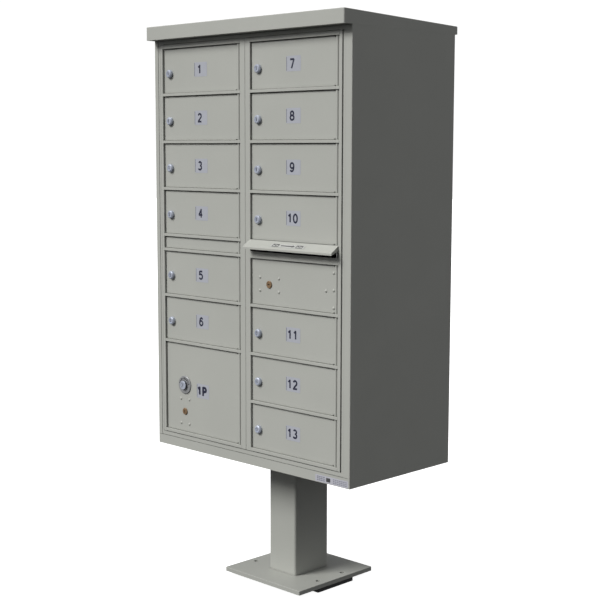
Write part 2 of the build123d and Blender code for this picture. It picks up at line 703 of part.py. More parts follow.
def make_filler_panel():
    """The fixed strip in the left master door, with the same section as the doors."""
    with BuildPart() as panel:
        door_blank(LEFT_OPENING_X, STRIP_Z, STRIP_H)
    save(panel, "filler_panel")


# ======================================================================= outgoing mail slot
def make_outgoing_hood():
    """A sloping cover over the slot with a turned-down lip and closed ends."""
    x0 = RIGHT_OPENING_X - SLOT_HOOD_OVERLAP
    wall = MASTER_FACE - SEAM
    inside = LIP_Y + SLOT_HOOD_T
    with BuildPart() as hood:
        with BuildSketch(Plane.YZ.offset(x0)):
            with BuildLine():
                Polyline(
                    (wall, SLOT_HOOD_Z),
                    (LIP_Y, LIP_TOP_Z),
                    (LIP_Y, LIP_Z),
                    (inside, LIP_Z),
                    (inside, LIP_TOP_Z - SLOT_LIP_DROP),
                    (wall, SLOT_HOOD_Z - SLOT_HOOD_DROP),
                    close=True,
                )
            make_face()
            fillet(vertices().sort_by(Axis.X)[:2].sort_by(Axis.Y)[-1], SLOT_HOOD_BEND_R)
        extrude(amount=SLOT_X1 - x0)
        for x in (x0, SLOT_X1 - SLOT_HOOD_END_T):
            with BuildSketch(Plane.YZ.offset(x)):
                with BuildLine():
                    Polyline(
                        (wall, SLOT_HOOD_Z - SLOT_END_TOP),
                        (LIP_Y + SLOT_END_BACK, LIP_TOP_Z - SLOT_LIP_DROP),
                        (LIP_Y + SLOT_END_BACK, LIP_Z + SLOT_END_UP),
                        (wall, SLOT_HOOD_Z - SLOT_END_BOTTOM),
                        close=True,
                    )
                make_face()
            extrude(amount=SLOT_HOOD_END_T)
    save(hood, "outgoing_hood")


def make_outgoing_baffle():
    """The slot's sill strip, flush with the frame, and the deflector hung behind the slot."""
    x0 = RIGHT_OPENING_X + SEAM
    x1 = SLOT_X1 - SEAM
    back = MASTER_BACK + SEAM
    bend_z = STRIP_Z + DEFLECTOR_BEND_UP
    low_z = STRIP_Z + DEFLECTOR_LOW_UP
    deflector_x0 = RIGHT_OPENING_X + DEFLECTOR_INSET
    with BuildPart() as baffle:
        plate(x0, x1, MASTER_FACE, MASTER_FACE + SLOT_SILL_T, STRIP_Z + SEAM, STRIP_Z + SLOT_SILL_UP)
        with BuildSketch(Plane.YZ.offset(deflector_x0)):
            with BuildLine():
                Polyline(
                    (back, STRIP_Z + DEFLECTOR_TOP_UP),
                    (back, bend_z),
                    (back + DEFLECTOR_LEAN, low_z),
                    (back + DEFLECTOR_LEAN + DEFLECTOR_T, low_z),
                    (back + DEFLECTOR_T, bend_z),
                    (back + DEFLECTOR_T, STRIP_Z + DEFLECTOR_TOP_UP),
                    close=True,
                )
            make_face()
        extrude(amount=SLOT_X1 - DEFLECTOR_END_INSET - deflector_x0)
    save(baffle, "outgoing_baffle")


# ======================================================================= carrier locks
def make_sliding_bolt(name, x, z, left):
    """A flat bolt whose slot rides on the lock's tail.  At rest it is drawn back, unlocked."""
    half = BOLT_H / 2
    with BuildPart() as bolt:
        plate(left, x + BOLT_PAST, BOLT_Y, BOLT_Y + BOLT_T, z - half, z + half)
        chamfer(bolt.faces().sort_by(Axis.X)[0].edges().sort_by(Axis.Y)[0], BOLT_CHAMFER)
        with BuildSketch(Plane.XZ.offset(-BOLT_Y)):
            with Locations((x + BOLT_TRAVEL / 2, z)):
                SlotCenterToCenter(BOLT_TRAVEL + BOLT_SLOT_SLACK, TAIL_SLOT_W)
        extrude(amount=-BOLT_T, mode=Mode.SUBTRACT)
    save(bolt, name)


def lock_tail(x, z):
    """The thin tail of a lock and the driving disc behind the bolt."""
    disc_y = BOLT_Y + BOLT_T + TAIL_CLEAR
    disc(x, z, BOLT_Y - TAIL_CLEAR, disc_y, TAIL_R)
    disc(x, z, disc_y, disc_y + TAIL_DISC_T, TAIL_DISC_R)


def bolt_guides(x0, x1, y0, z):
    """Two ribs, above and below a sliding bolt."""
    below = z - BOLT_H / 2 - GUIDE_CLEAR
    above = z + BOLT_H / 2 + GUIDE_CLEAR
    plate(x0, x1, y0, GUIDE_BACK, below - GUIDE_T, below)
    plate(x0, x1, y0, GUIDE_BACK, above, above + GUIDE_T)


def rivet(x, z, back):
    """A round-headed rivet through a door."""
    front = DOOR_FACE - RUNNING
    with BuildSketch(Plane(origin=(x, front, z), x_dir=(1, 0, 0), z_dir=(0, 0, 1))) as profile:
        with BuildLine():
            Line((0, 0), (0, -RIVET_HEAD_H))
            TangentArc((0, -RIVET_HEAD_H), (RIVET_HEAD_R, 0), tangent=(1, 0))
            Line((RIVET_HEAD_R, 0), (0, 0))
        make_face()
    revolve(profile.sketch, axis=Axis((x, front, z), (0, 1, 0)))
    disc(x, z, front, back, RIVET_R)


def rivet_holes(x, z, across, up):
    """The four holes through a door for the rivets of a lock case."""
    for dx in (-across / 2, across / 2):
        for dz in (-up / 2, up / 2):
            door_hole(x + dx, z + dz, RIVET_R + RUNNING)


def make_lock_case(name, x, z, wide, tall, rivet_x, rivet_z, with_guides):
    """The case riveted behind a door, the four rivets, and the guides of its bolt if it has one."""
    front = DOOR_BACK + RUNNING
    with BuildPart() as case:
        plate(x - wide / 2, x + wide / 2, front, CASE_BACK, z - tall / 2, z + tall / 2)
        fillet(case.faces().sort_by(Axis.Y)[-1].edges(), CASE_EDGE_R)
        disc(x, z, front - OVERRUN, CASE_BACK + OVERRUN, CARRIER_PLUG_R + RUNNING, Mode.SUBTRACT)
        for dx in (-rivet_x / 2, rivet_x / 2):
            for dz in (-rivet_z / 2, rivet_z / 2):
                disc(x + dx, z + dz, front - OVERRUN, CASE_BACK + OVERRUN, RIVET_R + RUNNING, Mode.SUBTRACT)
                rivet(x + dx, z + dz, CASE_BACK)
        if with_guides:
            bolt_guides(x - wide / 2 + CASE_GUIDE_INSET, x - CASE_GUIDE_STOP, CASE_BACK - ROOT, z)
    save(case, name)


def make_parcel_door():
    with BuildPart() as door:
        door_blank(LEFT_OPENING_X, LOWER_Z, PARCEL_H)
        door_hole(PARCEL_LOCK_X, PARCEL_LOCK_Z, PARCEL_HOLE_R)
        door_hole(PARCEL_LOCK_X, PARCEL_CARRIER_Z, CARRIER_HOLE_R)
        rivet_holes(PARCEL_LOCK_X, PARCEL_CARRIER_Z, RIVET_SHORT, RIVET_LONG)
    save(door, "parcel_door")


def make_parcel_escutcheon():
    """The round plate and fixed barrel of the customer lock, with the guides of its bolt."""
    x = PARCEL_LOCK_X
    z = PARCEL_LOCK_Z
    front = DOOR_FACE - RUNNING
    barrel_face = DOOR_FACE - PARCEL_BARREL_PROUD
    with BuildPart() as barrel:
        disc(x, z, front - ESCUTCHEON_T, front, ESCUTCHEON_R)
        chamfer(barrel.faces().sort_by(Axis.Y)[0].edges(), ESCUTCHEON_EDGE)
        disc(x, z, barrel_face, front - OVERRUN, PARCEL_BARREL_R)
        fillet(barrel.faces().sort_by(Axis.Y)[0].edges(), ESCUTCHEON_EDGE)
        disc(x, z, front - OVERRUN, CASE_BACK, PARCEL_SHANK_R)
        disc(x, z, barrel_face - OVERRUN, CASE_BACK + OVERRUN, PARCEL_PLUG_R + RUNNING, Mode.SUBTRACT)
        bolt_guides(x - PARCEL_GUIDE_START, x - PARCEL_GUIDE_STOP, DOOR_BACK + RUNNING, z)
    save(barrel, "parcel_escutcheon")


def make_parcel_lock():
    """The customer's turning plug in the parcel door."""
    x = PARCEL_LOCK_X
    z = PARCEL_LOCK_Z
    face = DOOR_FACE - PARCEL_BARREL_PROUD + PARCEL_PLUG_SUNK
    half_w = PARCEL_KEY_W / 2
    half_h = PARCEL_KEY_H / 2
    with BuildPart() as lock:
        disc(x, z, face, BOLT_Y - TAIL_CLEAR, PARCEL_PLUG_R)
        chamfer(lock.faces().sort_by(Axis.Y)[0].edges(), PLUG_CHAMFER)
        lock_tail(x, z)
        plate(x - half_w, x + half_w, face - OVERRUN, face + KEYWAY_D, z - half_h, z + half_h, Mode.SUBTRACT)
    save(lock, "parcel_lock")


def make_carrier_lock(name, x, z, key_w, key_h, with_tail):
    """A brass lock with a wide face that turns in its case."""
    face = DOOR_FACE - CARRIER_PROUD
    with BuildPart() as lock:
        disc(x, z, face, DOOR_BACK - CARRIER_SHORT, CARRIER_R)
        chamfer(lock.faces().sort_by(Axis.Y)[0].edges(), CARRIER_CHAMFER)
        plate(
            x - key_w / 2, x + key_w / 2, face - OVERRUN, face + CARRIER_KEY_D,
            z - key_h / 2, z + key_h / 2, Mode.SUBTRACT,
        )
        disc(x, z, DOOR_BACK - 2 * CARRIER_SHORT, BOLT_Y - TAIL_CLEAR, CARRIER_PLUG_R)
        if with_tail:
            lock_tail(x, z)
    save(lock, name)


def make_outgoing_door():
    """The door of the outgoing mail compartment, with the rivets of its hinge plate."""
    hinge_side = SLOT_X1 - HINGE_RIVET_INSET
    rivet_places = [(hinge_side, OUTGOING_Z + up) for up in HINGE_RIVETS_UP]
    rivet_places.append((hinge_side - HINGE_RIVET_STEP, OUTGOING_Z + INNER_RIVET_UP))
    with BuildPart() as door:
        door_blank(RIGHT_OPENING_X, OUTGOING_Z, OPENING_H)
        door_hole(OUTGOING_LOCK_X, OUTGOING_LOCK_Z, CARRIER_HOLE_R)
        rivet_holes(OUTGOING_LOCK_X, OUTGOING_LOCK_Z, RIVET_LONG, RIVET_SHORT)
        for x, z in rivet_places:
            door_hole(x, z, RIVET_R + RUNNING)
            rivet(x, z, DOOR_BACK + RIVET_TAIL)
    save(door, "outgoing_door")


# ======================================================================= build everything
make_mounting_pad()
make_base_plate()
make_pedestal_tube()
make_pedestal_bolts()
make_floor_pan()
make_side_panels()
make_back_panel()
make_top_panel()
make_rain_hood()
make_front_frame()
make_master_pivot_pins()
make_partitions()
make_both_shelves()

# Openings from the bottom up.  The outgoing slot has no door and so no hinge leaf.
upper_openings = [(z, OPENING_H) for z in UPPER_ROWS]
left_openings = [(LOWER_Z, PARCEL_H)] + [(z, OPENING_H) for z in LOWER_ROWS[2:]]
right_openings = [(z, OPENING_H) for z in LOWER_ROWS]
strip = [(STRIP_Z, STRIP_H)]
make_master_frame(
    "left_master_frame", LEFT_MASTER_X, MASTER_MEET_X - MEET_GAP / 2, LEFT_OPENING_X,
    left_openings + strip + upper_openings, left_openings + strip + upper_openings,
    LEFT_BOLT_X, LEFT_PIN_X,
)
make_master_frame(
    "right_master_frame", MASTER_MEET_X + MEET_GAP / 2, RIGHT_MASTER_X, RIGHT_OPENING_X,
    right_openings + strip + upper_openings, right_openings + upper_openings,
    RIGHT_BOLT_X, RIGHT_PIN_X,
)
make_hinge_rod("left_hinge_rod", LEFT_OPENING_X)
make_hinge_rod("right_hinge_rod", RIGHT_OPENING_X)
make_master_bolt("left_master_bolt", LEFT_BOLT_X)
make_master_bolt("right_master_bolt", RIGHT_BOLT_X)
make_filler_panel()
make_outgoing_hood()
make_outgoing_baffle()

# Doors are numbered down the left column and then down the right one.
left_bottoms = UPPER_ROWS[::-1] + LOWER_ROWS[3:1:-1]
right_bottoms = UPPER_ROWS[::-1] + LOWER_ROWS[2::-1]
tenants = [(LEFT_OPENING_X, z) for z in left_bottoms] + [(RIGHT_OPENING_X, z) for z in right_bottoms]
for number, (opening_x, bottom_z) in enumerate(tenants, start=1):
    make_tenant_door(number, opening_x, bottom_z)
    make_tenant_lock(number, opening_x, bottom_z)

make_parcel_door()
make_parcel_escutcheon()
make_parcel_lock()
make_sliding_bolt("parcel_bolt", PARCEL_LOCK_X, PARCEL_LOCK_Z, LEFT_OPENING_X + BOLT_INSET)
make_carrier_lock(
    "parcel_carrier_lock", PARCEL_LOCK_X, PARCEL_CARRIER_Z, CARRIER_KEY_W, CARRIER_KEY_H, False,
)
make_lock_case(
    "parcel_lock_case", PARCEL_LOCK_X, PARCEL_CARRIER_Z, CASE_SHORT, CASE_LONG,
    RIVET_SHORT, RIVET_LONG, False,
)
make_outgoing_door()
make_carrier_lock(
    "outgoing_lock", OUTGOING_LOCK_X, OUTGOING_LOCK_Z, CARRIER_KEY_H, CARRIER_KEY_W, True,
)
make_sliding_bolt("outgoing_bolt", OUTGOING_LOCK_X, OUTGOING_LOCK_Z, RIGHT_OPENING_X + BOLT_INSET)
make_lock_case(
    "outgoing_lock_case", OUTGOING_LOCK_X, OUTGOING_LOCK_Z, CASE_LONG, CASE_SHORT,
    RIVET_LONG, RIVET_SHORT, True,
)
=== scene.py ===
import json
import math
import bmesh
import bpy
from mathutils import Matrix, Vector


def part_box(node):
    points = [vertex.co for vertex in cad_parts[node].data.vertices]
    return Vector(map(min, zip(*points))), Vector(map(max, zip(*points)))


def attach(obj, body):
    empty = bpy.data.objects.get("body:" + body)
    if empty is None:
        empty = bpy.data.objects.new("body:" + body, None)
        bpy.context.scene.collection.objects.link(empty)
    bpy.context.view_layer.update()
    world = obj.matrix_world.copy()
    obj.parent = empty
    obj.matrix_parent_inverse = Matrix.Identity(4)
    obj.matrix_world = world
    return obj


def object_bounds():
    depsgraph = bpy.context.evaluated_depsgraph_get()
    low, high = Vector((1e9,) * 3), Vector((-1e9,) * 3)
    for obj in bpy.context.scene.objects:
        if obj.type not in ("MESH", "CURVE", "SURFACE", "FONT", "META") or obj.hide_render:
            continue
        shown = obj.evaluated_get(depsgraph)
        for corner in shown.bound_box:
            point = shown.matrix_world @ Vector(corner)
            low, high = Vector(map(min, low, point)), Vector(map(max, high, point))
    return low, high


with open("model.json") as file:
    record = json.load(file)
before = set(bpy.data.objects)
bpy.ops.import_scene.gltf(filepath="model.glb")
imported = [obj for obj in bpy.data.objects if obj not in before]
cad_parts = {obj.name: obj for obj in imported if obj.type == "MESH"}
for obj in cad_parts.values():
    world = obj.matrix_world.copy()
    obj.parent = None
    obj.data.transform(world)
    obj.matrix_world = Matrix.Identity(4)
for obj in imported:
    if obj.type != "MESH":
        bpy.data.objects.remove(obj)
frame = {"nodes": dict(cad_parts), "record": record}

cad_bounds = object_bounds()

# ---------------------------------------------------------------- sizes in metres, in the CAD's frame
MM = 0.001
NODES = frame["nodes"]
KNUCKLE_PROUD = 3.2 * MM    # a small door's hinge knuckle stands out from its face
FRONT_FACE_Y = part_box("right_master_frame")[0].y        # face of the master doors
DOOR_FACE_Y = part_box("parcel_door")[0].y + KNUCKLE_PROUD        # face of the small doors
TENANTS = [f"{number:02d}" for number in range(1, 14)]

# Camera at the viewing angle of the reference photograph
CAMERA_AT = (2.5606, -2.6070, 1.2493)
CAMERA_YAW = math.radians(-44.45)
CAMERA_PITCH = math.radians(-7.0)
CAMERA_ROLL = math.radians(0.11)
CAMERA_LENS = 76.67
CAMERA_SHIFT_Y = 0.0095
SENSOR_WIDTH = 36.0

# One broad key light from above the front left, and an even sky
AMBIENT = 0.36
SKY_COLOUR = (0.97, 0.98, 1.0, 1)
KEY_COLOUR = (1.0, 0.998, 0.985)
KEY_STRENGTH = 3.16
KEY_SPREAD = math.radians(26)
KEY_TRAVELS = (0.40, 1.0, -0.89)

# The stage: a floor and a surround that only the camera sees, and a card that only soft light meets
FLOOR_SIZE = 60.0
FLOOR_GLOW = 0.95
FLOOR_BELOW = 0.5 * MM
SURROUND_RADIUS = 29.0
SURROUND_GLOW = 1.05
CARD_SIZE = 50.0
CARD_BELOW = 2 * MM
STAGE_T = 0.1 * MM


# ================================================================ node helpers
def new_material(name):
    """A material with a Principled shader, and the pieces needed to wire it up."""
    material = bpy.data.materials.new(name)
    material.use_nodes = True
    tree = material.node_tree
    shader = tree.nodes["Principled BSDF"]
    return material, tree, shader


def texture_space(tree, scale=(1, 1, 1)):
    """Object coordinates, so the grain runs on unbroken from piece to piece."""
    coordinates = tree.nodes.new("ShaderNodeTexCoord")
    mapping = tree.nodes.new("ShaderNodeMapping")
    mapping.inputs["Scale"].default_value = scale
    tree.links.new(coordinates.outputs["Object"], mapping.inputs["Vector"])
    return mapping.outputs["Vector"]


def noise(tree, vector, scale, detail=2.0, roughness=0.5):
    node = tree.nodes.new("ShaderNodeTexNoise")
    node.inputs["Scale"].default_value = scale
    node.inputs["Detail"].default_value = detail
    node.inputs["Roughness"].default_value = roughness
    tree.links.new(vector, node.inputs["Vector"])
    return node.outputs["Fac"]


def remap(tree, value, low_in, high_in, low_out, high_out):
    node = tree.nodes.new("ShaderNodeMapRange")
    node.inputs["From Min"].default_value = low_in
    node.inputs["From Max"].default_value = high_in
    node.inputs["To Min"].default_value = low_out
    node.inputs["To Max"].default_value = high_out
    tree.links.new(value, node.inputs["Value"])
    return node.outputs["Result"]


def mix_colour(tree, factor, first, second, blend="MIX"):
    """Mix two colours, each a tuple or a socket."""
    node = tree.nodes.new("ShaderNodeMix")
    node.data_type = "RGBA"
    node.blend_type = blend
    for socket, value in ((node.inputs[0], factor), (node.inputs[6], first), (node.inputs[7], second)):
        if isinstance(value, bpy.types.NodeSocket):
            tree.links.new(value, socket)
        else:
            socket.default_value = value
    return node.outputs[2]


def bump(tree, height, distance, strength, below=None):
    node = tree.nodes.new("ShaderNodeBump")
    node.inputs["Distance"].default_value = distance
    node.inputs["Strength"].default_value = strength
    tree.links.new(height, node.inputs["Height"])
    if below is not None:
        tree.links.new(below, node.inputs["Normal"])
    return node.outputs["Normal"]


def crevice(tree, distance, samples=6):
    """1 in the open, falling towards 0 deep in a joint."""
    node = tree.nodes.new("ShaderNodeAmbientOcclusion")
    node.samples = samples
    node.inputs["Distance"].default_value = distance
    return node.outputs["AO"]


# ================================================================ materials
PALE_SPECK = (0.75, 0.75, 0.72, 1.0)
# painted shade that darkens the paint deep in the joints
JOINT_PAINTED_SHADE = (0.10, 0.10, 0.092, 1.0)
PAD_BLACK = (0.012, 0.012, 0.013, 1)
PAD_DUST = (0.07, 0.068, 0.064, 1)


def make_grey_paint(name, light, dark):
    """Powder coat with orange peel and faint clouding, and painted shade that darkens it deep in the
    joints.
    """
    material, tree, shader = new_material(name)
    space = texture_space(tree)
    clouds = noise(tree, space, 3.2, 4.0, 0.55)
    speckle = noise(tree, space, 900.0, 2.0, 0.6)
    base = mix_colour(tree, remap(tree, clouds, 0.3, 0.7, 0.0, 1.0), dark, light)
    base = mix_colour(tree, remap(tree, speckle, 0.35, 0.65, 0.0, 0.06), base, PALE_SPECK)
    # painted shade: ambient occlusion darkens the colour in joints, gaps and recesses
    open_air = crevice(tree, 9 * MM)
    base = mix_colour(tree, remap(tree, open_air, 0.25, 0.95, 0.45, 0.0), base, JOINT_PAINTED_SHADE)
    tree.links.new(base, shader.inputs["Base Color"])
    rough = remap(tree, noise(tree, space, 14.0, 3.0), 0.3, 0.7, 0.42, 0.54)
    tree.links.new(rough, shader.inputs["Roughness"])
    shader.inputs["Specular IOR Level"].default_value = 0.42
    peel = bump(tree, noise(tree, space, 420.0, 2.0, 0.45), 0.25 * MM, 0.22)
    wave = bump(tree, noise(tree, space, 9.0, 1.0, 0.4), 1.2 * MM, 0.10, below=peel)
    tree.links.new(wave, shader.inputs["Normal"])
    return material


def make_metal(name, light, dark, roughness, grain_scale, grain=0.10, cloud_scale=40.0, metallic=1.0):
    """A bare or plated metal with drawn grain and uneven gloss."""
    material, tree, shader = new_material(name)
    shader.inputs["Metallic"].default_value = metallic
    space = texture_space(tree)
    clouds = noise(tree, space, cloud_scale, 3.0, 0.6)
    base = mix_colour(tree, remap(tree, clouds, 0.3, 0.7, 0.0, 1.0), dark, light)
    tree.links.new(base, shader.inputs["Base Color"])
    drawn = noise(tree, texture_space(tree, grain_scale), 1.0, 3.0, 0.6)
    spread = remap(tree, drawn, 0.25, 0.75, roughness - 0.07, roughness + 0.10)
    tree.links.new(spread, shader.inputs["Roughness"])
    tree.links.new(bump(tree, drawn, 0.05 * MM, grain), shader.inputs["Normal"])
    return material


def make_pad():
    """Black pad with a moulded grain and a little grey dust."""
    material, tree, shader = new_material("black_pad")
    space = texture_space(tree)
    dust = noise(tree, space, 26.0, 5.0, 0.65)
    base = mix_colour(tree, remap(tree, dust, 0.45, 0.8, 0.0, 0.5), PAD_BLACK, PAD_DUST)
    tree.links.new(base, shader.inputs["Base Color"])
    tree.links.new(remap(tree, dust, 0.3, 0.7, 0.62, 0.85), shader.inputs["Roughness"])
    tree.links.new(bump(tree, noise(tree, space, 700.0, 2.0), 0.2 * MM, 0.4), shader.inputs["Normal"])
    return material


def make_film(name, light, dark, roughness, grain_scale=160.0):
    """Printed film or ink, with slight unevenness in tone and gloss."""
    material, tree, shader = new_material(name)
    space = texture_space(tree)
    tone = noise(tree, space, grain_scale, 4.0, 0.6)
    base = mix_colour(tree, remap(tree, tone, 0.3, 0.7, 0.0, 1.0), dark, light)
    tree.links.new(base, shader.inputs["Base Color"])
    gloss = remap(tree, tone, 0.3, 0.7, roughness - 0.06, roughness + 0.06)
    tree.links.new(gloss, shader.inputs["Roughness"])
    tree.links.new(bump(tree, noise(tree, space, 350.0, 1.0), 0.1 * MM, 0.12), shader.inputs["Normal"])
    return material


PAINT = make_grey_paint("grey_powder_coat", (0.432, 0.438, 0.405, 1.0), (0.408, 0.414, 0.382, 1.0))
# a darker copy of the grey paint, for the base plate and the post
DARKER_PAINT = make_grey_paint("darker_powder_coat", (0.394, 0.400, 0.370, 1.0), (0.368, 0.374, 0.345, 1.0))
LOCK = make_metal(
    "satin_lock_metal", (0.55, 0.59, 0.69, 1), (0.44, 0.47, 0.56, 1), 0.36, (900, 900, 40), metallic=0.4
)
BRASS = make_metal(
    "satin_brass", (0.30, 0.19, 0.105, 1), (0.19, 0.12, 0.065, 1), 0.46, (700, 60, 700), 0.18, metallic=0.4
)
PLATE = make_metal(
    "satin_escutcheon", (0.36, 0.365, 0.375, 1), (0.26, 0.265, 0.27, 1), 0.42, (500, 500, 60), 0.12,
    metallic=0.4,
)
# painted shade: a dark metal on the flank of the parcel lock's barrel
FLANK_PAINTED_SHADE = make_metal(
    "barrel_flank_painted_shade", (0.17, 0.18, 0.20, 1), (0.10, 0.105, 0.12, 1), 0.45, (900, 60, 900), 0.12,
    metallic=0.4,
)
ZINC = make_metal(
    "zinc_plate", (0.70, 0.71, 0.70, 1), (0.52, 0.52, 0.50, 1), 0.38, (300, 300, 60), 0.12, 90.0
)
SHEET = make_metal(
    "mill_finish_sheet", (0.78, 0.79, 0.80, 1), (0.66, 0.67, 0.68, 1), 0.42, (30, 900, 900), 0.08, 12.0
)
PAD = make_pad()
FILM = make_film("label_film", (0.430, 0.443, 0.492, 1), (0.408, 0.420, 0.468, 1), 0.35)
# dark print on the sticker, and painted shade along the labels' cut edges
DARK_PRINT_AND_EDGE_SHADE = make_film("label_edge", (0.18, 0.19, 0.24, 1), (0.14, 0.15, 0.19, 1), 0.40)
INK = make_film("navy_ink", (0.006, 0.008, 0.034, 1), (0.004, 0.005, 0.022, 1), 0.60)
STRIP_FILM = make_film("slot_label_film", (0.475, 0.480, 0.460, 1), (0.450, 0.455, 0.435, 1), 0.40)
STICKER_FILM = make_film("sticker_film", (0.49, 0.49, 0.545, 1), (0.45, 0.45, 0.50, 1), 0.40)
CHARCOAL = make_film("charcoal_ink", (0.065, 0.065, 0.070, 1), (0.040, 0.040, 0.044, 1), 0.50)
# black for the engraved ticks, and as painted shade on the walls of keyways
BLACK_MARKS_AND_PAINTED_SHADE = make_film("black_marks_and_painted_shade", (0.018, 0.018, 0.022, 1), (0.006, 0.006, 0.008, 1), 0.70)

SLOT_MATERIALS = {
    "grey_paint": PAINT,
    "black_pad": PAD,
    "bare_sheet": SHEET,
    "zinc_steel": ZINC,
    "lock_metal": LOCK,
    "carrier_brass": BRASS,
}


# ================================================================ CAD nodes
CAM_HUB_RADIUS = 10 * MM        # the cam's hub reaches this far below its lock's axis
BARREL_REACH = 12.8 * MM        # just past the corners of a tenant lock's nut
GUIDES_BEHIND = 20.05 * MM      # faces this far behind the master doors' face belong to guide straps
PLATE_PROUD = 3.3 * MM          # just past the face of the parcel lock's round plate
FLANK_FACING = -0.6             # the barrel's faces that look forward more than this are its front
KEYWAY_BEHIND = 0.05 * MM       # the walls of a keyway, behind the face of its plug
KEYWAY_DEPTH = 5.1 * MM
KEYWAY_HALF = (1.2 * MM, 4.7 * MM)
OTHER_KEYWAYS = {
    "parcel_lock": (1.3 * MM, 5.2 * MM),
    "parcel_carrier_lock": (1.1 * MM, 4.5 * MM),
    "outgoing_lock": (4.5 * MM, 1.1 * MM),
}


def assign(node_name, material):
    mesh = NODES[node_name].data
    mesh.materials.clear()
    mesh.materials.append(material)


def paint_faces(node_name, material, test):
    """Give the faces whose centre passes the test a material of their own."""
    mesh = NODES[node_name].data
    mesh.materials.append(material)
    index = len(mesh.materials) - 1
    for face in mesh.polygons:
        if test(face.center, face.normal):
            face.material_index = index


def lock_axis(number):
    """The centre of a tenant lock, on the face of its door."""
    low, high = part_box(f"tenant_lock_{number}")
    return Vector(((low.x + high.x) / 2, DOOR_FACE_Y, low.z + CAM_HUB_RADIUS))


for part in frame["record"]["subparts"]:
    assign(part["node"], SLOT_MATERIALS[part["material_slot"]])
# the base plate and the post get the darker copy of the grey paint
for low_piece in ("base_plate", "pedestal_tube"):
    assign(low_piece, DARKER_PAINT)


def bare_lock_barrels():
    """The barrel and nut of each tenant lock belong to the door's node but are bare metal."""
    for number in TENANTS:
        axis = lock_axis(number)
        mesh = NODES[f"tenant_door_{number}"].data
        mesh.materials.append(LOCK)
        bare = len(mesh.materials) - 1
        for face in mesh.polygons:
            corners = [mesh.vertices[index].co for index in face.vertices]
            if all(math.hypot(co.x - axis.x, co.z - axis.z) < BARREL_REACH for co in corners):
                face.material_index = bare


def zinc_guides():
    """The guide straps behind the master doors are bare plated steel."""
    back = FRONT_FACE_Y + GUIDES_BEHIND
    for node_name in ("left_master_frame", "right_master_frame"):
        paint_faces(node_name, ZINC, lambda centre, normal: centre.y > back)


def painted_rivets():
    """The heads of the lock case rivets are painted over with the doors."""
    for node_name in ("parcel_lock_case", "outgoing_lock_case"):
        paint_faces(node_name, PAINT, lambda centre, normal: centre.y < DOOR_FACE_Y)


def dark_keyway(node_name, axis, half_width, half_height):
    """Paint shade on the walls of a keyway, just behind the face of its plug: they are made black."""
    start_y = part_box(node_name)[0].y + KEYWAY_BEHIND

    def in_keyway(centre, normal):
        beside = abs(centre.x - axis.x) < half_width
        level = abs(centre.z - axis.z) < half_height
        return beside and level and start_y < centre.y < start_y + KEYWAY_DEPTH

    paint_faces(node_name, BLACK_MARKS_AND_PAINTED_SHADE, in_keyway)


# painted shade in the keyway of every lock
def dark_keyways():
    for number in TENANTS:
        dark_keyway(f"tenant_lock_{number}", lock_axis(number), *KEYWAY_HALF)
    for node_name, half in OTHER_KEYWAYS.items():
        low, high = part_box(node_name)
        dark_keyway(node_name, (low + high) / 2, *half)


def duller_escutcheon():
    """The parcel lock's round plate is duller than its barrel, and the barrel's flank is painted dark as
    shade.
    """
    plate_y = DOOR_FACE_Y - PLATE_PROUD
    paint_faces("parcel_escutcheon", PLATE, lambda centre, normal: plate_y < centre.y < DOOR_FACE_Y)
    # painted shade on the barrel's flank
    paint_faces(
        "parcel_escutcheon", FLANK_PAINTED_SHADE, lambda centre, normal: centre.y < plate_y and normal.y > FLANK_FACING
    )


bare_lock_barrels()
duller_escutcheon()
zinc_guides()
painted_rivets()
dark_keyways()


# ================================================================ mesh helpers
def add_piece(name, mesh, body, material):
    """Put a finished mesh in the scene as a piece that rides on a body."""
    piece = bpy.data.objects.new(name, mesh)
    bpy.context.scene.collection.objects.link(piece)
    mesh.materials.clear()
    mesh.materials.append(material)
    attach(piece, body)
    return piece


def mesh_from(bm, name):
    bmesh.ops.recalc_face_normals(bm, faces=bm.faces)
    mesh = bpy.data.meshes.new(name)
    bm.to_mesh(mesh)
    bm.free()
    return mesh


def rounded_outline(width, height, radius, steps=5):
    """Points round a rectangle with rounded corners, centred on the origin."""
    points = []
    for corner in range(4):
        turn = math.radians(90 * corner)
        sign_x = 1 if corner in (0, 3) else -1
        sign_y = 1 if corner in (0, 1) else -1
        centre_x = sign_x * (width / 2 - radius)
        centre_y = sign_y * (height / 2 - radius)
        for step in range(steps + 1):
            angle = turn + math.radians(90) * step / steps
            points.append((centre_x + radius * math.cos(angle), centre_y + radius * math.sin(angle)))
    return points


def slab_mesh(bm, outline, thickness, place):
    """A flat slab with this outline, standing out along the local +Z of the matrix."""
    base = [bm.verts.new(place @ Vector((x, y, 0))) for x, y in outline]
    top = [bm.verts.new(place @ Vector((x, y, thickness))) for x, y in outline]
    bm.faces.new(base[::-1])
    bm.faces.new(top)
    for index in range(len(outline)):
        after = (index + 1) % len(outline)
        bm.faces.new((base[index], base[after], top[after], top[index]))


def on_door(x, z, y=None):
    """A frame on a door's face: local X to the right, Y up, Z out of the door."""
    corner = Matrix.Translation((x, DOOR_FACE_Y if y is None else y, z))
    return corner @ Matrix.Rotation(math.radians(90), 4, "X")


def bar(width, height, x=0.0, y=0.0):
    """Outline of a plain rectangle centred on (x, y)."""
    w = width / 2
    h = height / 2
    return [(x - w, y - h), (x + w, y - h), (x + w, y + h), (x - w, y + h)]


